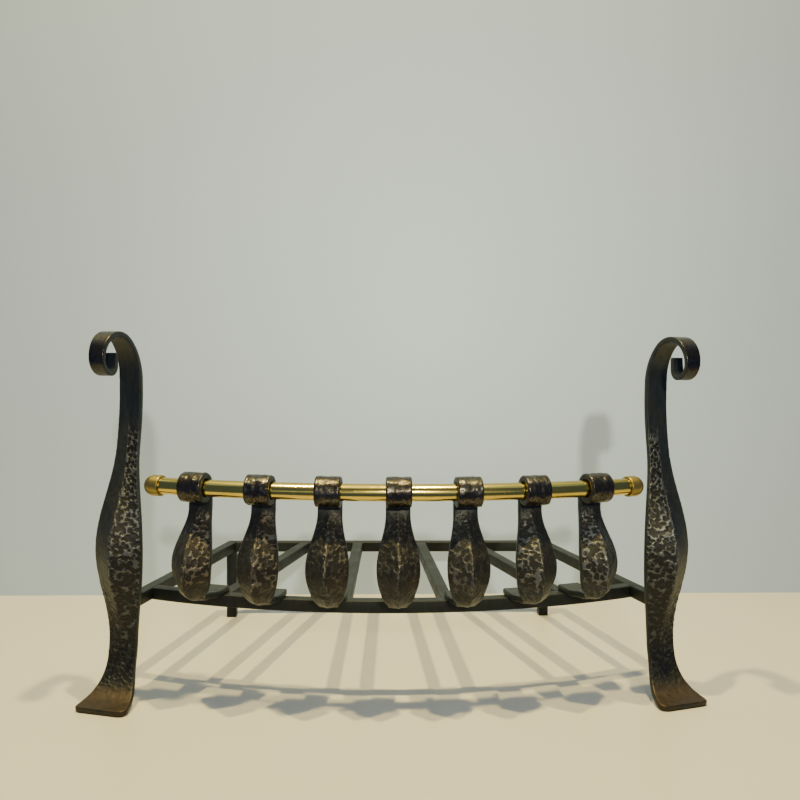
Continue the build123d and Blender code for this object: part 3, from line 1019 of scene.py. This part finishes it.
def floor_material():
    """Pale grey, which the warm lamps make cream."""
    material, tree, shader = new_material("Cream floor")
    clouds = noise(tree, object_place(tree), 3.0, 3.0)
    grey = mix_colour(tree, clouds, (0.442, 0.438, 0.427), (0.46, 0.461, 0.465))
    wire(tree, grey, shader.inputs["Base Color"])
    shader.inputs["Roughness"].default_value = 0.34
    shader.inputs["Specular IOR Level"].default_value = 0.35
    return material


def wall_material():
    """Cool grey paint, clear from behind, so that the wall never hides the grate."""
    material, tree, shader = new_material("Grey wall")
    clouds = noise(tree, object_place(tree), 2.0, 3.0)
    grey = mix_colour(tree, clouds, (0.416, 0.530, 0.735), (0.436, 0.553, 0.766))
    wire(tree, grey, shader.inputs["Base Color"])
    shader.inputs["Roughness"].default_value = 0.9
    behind = tree.nodes.new("ShaderNodeNewGeometry").outputs["Backfacing"]
    clear = tree.nodes.new("ShaderNodeBsdfTransparent").outputs[0]
    one_sided = node(tree, "ShaderNodeMixShader", {0: behind, 1: shader.outputs[0], 2: clear})
    wire(tree, one_sided.outputs[0], tree.nodes["Material Output"].inputs["Surface"])
    return material


def plane(name, width, depth, place, material):
    mesh = bpy.data.meshes.new(name)
    x, y = width / 2, depth / 2
    mesh.from_pydata([(-x, -y, 0), (x, -y, 0), (x, y, 0), (-x, y, 0)], [], [(0, 1, 2, 3)])
    mesh.transform(place)
    mesh.materials.append(material)
    return linked(name, mesh)


def area_light(name, place, target, size, power, colour):
    light = bpy.data.lights.new(name, "AREA")
    light.shape = "RECTANGLE"
    light.size, light.size_y = size
    light.energy = power
    light.color = colour
    made = linked(name, light)
    made.location = place
    made.rotation_euler = (Vector(target) - Vector(place)).to_track_quat("-Z", "Y").to_euler()
    return made


def lights():
    """Two small warm lamps on the ceiling, one in front aimed at the wall, and two broad cool panels."""
    amber, cream, sky, pale = (1.0, 0.77, 0.25), (1.0, 0.90, 0.55), (0.62, 0.84, 1.0), (0.85, 0.92, 1.0)
    for name, x, power in (("lamp_right", 0.33, 107), ("lamp_left", -0.69, 116)):
        area_light(name, (x, lamp_y, lamp_height), (x, lamp_y, 0), (0.09, 0.09), power, amber)
    front = area_light("lamp_front", (0.125, -1.694, 0.80), (0.05, wall_y, 0.38), (0.06, 0.06), 1.76, cream)
    front.data.spread = math.radians(40)
    area_light("ceiling", (0, -0.65, 2.85), (0, -0.65, 0), (4.4, 2.0), 14.7, sky)
    area_light("front_wall", (0, -3.3, 0.6), (0, 0, 0.6), (3.6, 0.7), 6.1, pale)


def daylight():
    """Bluish light from all round, and pale grey where the camera looks past the room."""
    world = bpy.data.worlds.new("Room light")
    world.use_nodes = True
    tree = world.node_tree
    seen = tree.nodes.new("ShaderNodeLightPath").outputs["Is Camera Ray"]
    colour = mix_colour(tree, seen, (0.092, 0.14, 0.27), (0.55, 0.58, 0.60))
    wire(tree, colour, tree.nodes["Background"].inputs["Color"])
    bpy.context.scene.world = world


def camera():
    """The camera of the photo: place, yaw, pitch and roll, and a lens measured in pixels."""
    place = Vector((-29.198 * MM, -745.732 * MM + front_y, 325.617 * MM))
    yaw, pitch, roll = (math.radians(angle) for angle in (2.402, 2.757, 0.484))
    focal_pixels, photo_pixels, sensor_width = 780.02, 800, 36
    ahead = Vector((math.sin(yaw) * math.cos(pitch), math.cos(yaw) * math.cos(pitch), -math.sin(pitch)))
    level = Vector((math.cos(yaw), -math.sin(yaw), 0))
    upward = level.cross(ahead)
    right = level * math.cos(roll) + upward * math.sin(roll)
    up = upward * math.cos(roll) - level * math.sin(roll)
    lens = bpy.data.cameras.new("photo")
    lens.sensor_width = sensor_width
    lens.lens = focal_pixels / photo_pixels * sensor_width
    made = linked("photo", lens)
    made.matrix_world = Matrix.Translation(place) @ Matrix((right, up, -ahead)).transposed().to_4x4()
    bpy.context.scene.camera = made


# The grate and its room
scale = scale_group()
forged = forged_material(scale, wear_group())
bars = bar_material(scale)
welds = weld_material(scale)
brass_surface = brass_group()
hammer = hammer_tree()
for number in range(1, upright_count + 1):
    upright_piece(number, forged, hammer)
for side in (-1, 1):
    post_piece(side, forged, hammer)
for name in ("front_bar", "back_bar", "left_side_bar", "right_side_bar", "left_rear_leg", "right_rear_leg"):
    bar_copy(name, bars)
for number in range(1, 2 * len(fan_bars) + 1):
    bar_copy(f"grate_bar_{number}", bars)
weld_piece(welds, bead_tree())
rail_piece(brass_material("Polished brass", brass_surface, 0.16, 0.15))
satin = brass_material("Satin brass", brass_surface, 0.4, 0.75)
for side in (-1, 1):
    cap_piece(side, satin)
room()
lights()
daylight()
camera()
